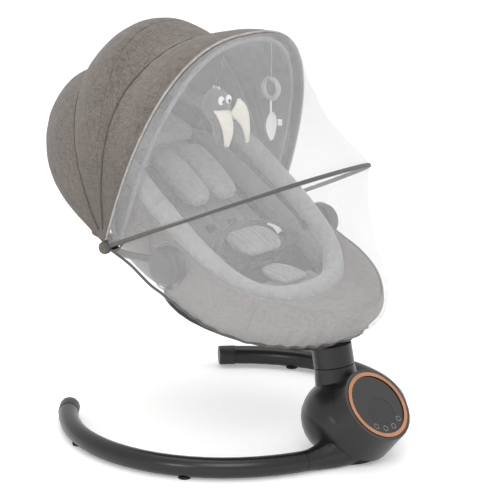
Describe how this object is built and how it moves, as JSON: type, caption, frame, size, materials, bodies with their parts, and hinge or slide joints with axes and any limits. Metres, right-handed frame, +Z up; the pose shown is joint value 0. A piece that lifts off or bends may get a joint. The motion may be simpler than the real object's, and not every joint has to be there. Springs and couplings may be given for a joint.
{
  "type": "baby swing",
  "caption": "Low electric baby swing: ring base with a drive pod, reclining padded seat on one slanted neck, folding hood, insect net and two hanging toys.",
  "frame": {"origin": "on the floor under the seat, at the middle of the ring base; the pod's foot ring stands on z = 0", "axes": "+Z up; -Y is the front, where the pod and the control panel are; +X is the seated child's left"},
  "size_m": [0.6118, 0.7325, 0.6733],
  "materials": {
    "charcoal_plastic": "satin moulded plastic",
    "end_cap_plastic": "satin moulded plastic, a shade lighter",
    "rubber": "matte",
    "copper_trim": "copper-coloured metallic ring, satin",
    "panel_glass": "gloss black",
    "display": "gloss black window",
    "steel": "satin",
    "frame_steel": "dark grey powder coat",
    "brass": "machined",
    "gear_plastic": "natural acetal",
    "circuit_board": "green board",
    "shell_fabric": "grey woven cover over a stiff shell",
    "plush_fabric": "grey short-pile plush",
    "harness_webbing": "woven webbing",
    "hood_fabric": "brown-grey marled weave",
    "net": "fine white mosquito mesh",
    "toy_plush": "grey plush",
    "toy_clear": "pale clear plastic"
  },
  "bodies": {
    "base": {"base_tube_left": "charcoal_plastic", "base_tube_right": "charcoal_plastic", "end_cap_left": "end_cap_plastic", "end_cap_right": "end_cap_plastic", "tube_foot_left_1": "rubber", "tube_foot_left_2": "rubber", "tube_foot_right_1": "rubber", "tube_foot_right_2": "rubber", "pod_housing": "charcoal_plastic", "pod_bottom_cover": "charcoal_plastic", "cover_screw_1": "steel", "cover_screw_2": "steel", "cover_screw_3": "steel", "pod_foot_ring": "rubber", "panel_trim_ring": "copper_trim", "touch_panel": "panel_glass", "display_window": "display", "control_board": "circuit_board", "drive_plate": "steel", "shaft_bearing_lower": "steel", "shaft_bearing_upper": "steel", "drive_motor": "steel", "speaker": "charcoal_plastic", "dc_jack": "steel"},
    "pinion": {"motor_pinion": "brass"},
    "swing": {"swing_shaft": "steel", "shaft_gear": "gear_plastic", "neck_sleeve": "charcoal_plastic", "seat_saddle": "charcoal_plastic", "seat_frame": "frame_steel", "hub_left": "charcoal_plastic", "hub_right": "charcoal_plastic", "seat_shell": "shell_fabric", "seat_pad": "plush_fabric", "crotch_pad": "plush_fabric", "buckle": "charcoal_plastic", "waist_strap_left": "harness_webbing", "waist_strap_right": "harness_webbing"},
    "buckle_button": {"buckle_button": "end_cap_plastic"},
    "recline_button_left": {"recline_button_left": "charcoal_plastic"},
    "recline_button_right": {"recline_button_right": "charcoal_plastic"},
    "backrest": {"back_frame": "frame_steel", "back_shell": "shell_fabric", "back_pad": "plush_fabric", "head_pad": "plush_fabric", "shoulder_pad_left": "plush_fabric", "shoulder_pad_right": "plush_fabric", "shoulder_strap_left": "harness_webbing", "shoulder_strap_right": "harness_webbing", "canopy_rear_panel": "hood_fabric"},
    "canopy_mid": {"canopy_bow_mid": "frame_steel", "canopy_mid_panel": "hood_fabric"},
    "canopy_front": {"canopy_bow_front": "frame_steel", "canopy_front_panel": "hood_fabric"},
    "net_bow": {"net_bow": "hood_fabric", "net_upper": "net", "net_lower": "net"},
    "toy_plush": {"toy_plush": "toy_plush"},
    "toy_ring": {"toy_ring": "toy_clear"},
    "toy_leaf": {"toy_leaf": "toy_clear"}
  },
  "joints": [
    {"name": "seat_swing", "type": "hinge", "parent": "base", "child": "swing", "pos_m": [0, -0.231, 0.147], "axis": [0, 0.2079, 0.9781], "range_deg": [-12, 12]},
    {"name": "pinion_spin", "type": "hinge", "parent": "base", "child": "pinion", "pos_m": [0, -0.20733, 0.14197], "axis": [0, 0.2079, 0.9781], "range_deg": [-40, 40]},
    {"name": "back_recline", "type": "hinge", "parent": "swing", "child": "backrest", "pos_m": [0, -0.036, 0.319], "axis": [-1, 0, 0], "range_deg": [0, 15]},
    {"name": "hood_fold", "type": "hinge", "parent": "backrest", "child": "canopy_mid", "pos_m": [0, 0.082, 0.332], "axis": [-1, 0, 0], "range_deg": [0, 35.1], "deforming": ["canopy_mid_panel", "canopy_rear_panel"]},
    {"name": "hood_front_fold", "type": "hinge", "parent": "canopy_mid", "child": "canopy_front", "pos_m": [0, 0.082, 0.332], "axis": [-1, 0, 0], "range_deg": [0, 23.4], "deforming": ["canopy_front_panel"]},
    {"name": "net_bow_lift", "type": "hinge", "parent": "canopy_front", "child": "net_bow", "pos_m": [0, 0.082, 0.332], "axis": [-1, 0, 0], "range_deg": [0, 38], "deforming": ["net_upper", "net_lower"]},
    {"name": "recline_button_left_press", "type": "slide", "parent": "swing", "child": "recline_button_left", "axis": [-1, 0, 0], "range_m": [0, 0.003], "stiffness_N_per_m": 900, "springref_m": -0.003},
    {"name": "recline_button_right_press", "type": "slide", "parent": "swing", "child": "recline_button_right", "axis": [1, 0, 0], "range_m": [0, 0.003], "stiffness_N_per_m": 900, "springref_m": -0.003},
    {"name": "buckle_button_press", "type": "slide", "parent": "swing", "child": "buckle_button", "axis": [0, 0.342, -0.9397], "range_m": [0, 0.0025], "stiffness_N_per_m": 900, "springref_m": -0.003},
    {"name": "toy_plush_swing", "type": "hinge", "parent": "canopy_front", "child": "toy_plush", "pos_m": [-0.06, -0.036, 0.6485], "axis": [-1, 0, 0], "range_deg": [-15, 15]},
    {"name": "toy_ring_swing", "type": "hinge", "parent": "canopy_front", "child": "toy_ring", "pos_m": [0.06, -0.036, 0.6485], "axis": [-1, 0, 0], "range_deg": [-15, 15]},
    {"name": "toy_leaf_swing", "type": "hinge", "parent": "toy_ring", "child": "toy_leaf", "pos_m": [0.06, -0.036, 0.55], "axis": [-1, 0, 0], "range_deg": [-15, 15]}
  ],
  "couplings": [
    {"joint": "pinion_spin", "follows": "seat_swing", "ratio": -3},
    {"joint": "hood_front_fold", "follows": "hood_fold", "ratio": 0.6667}
  ]
}
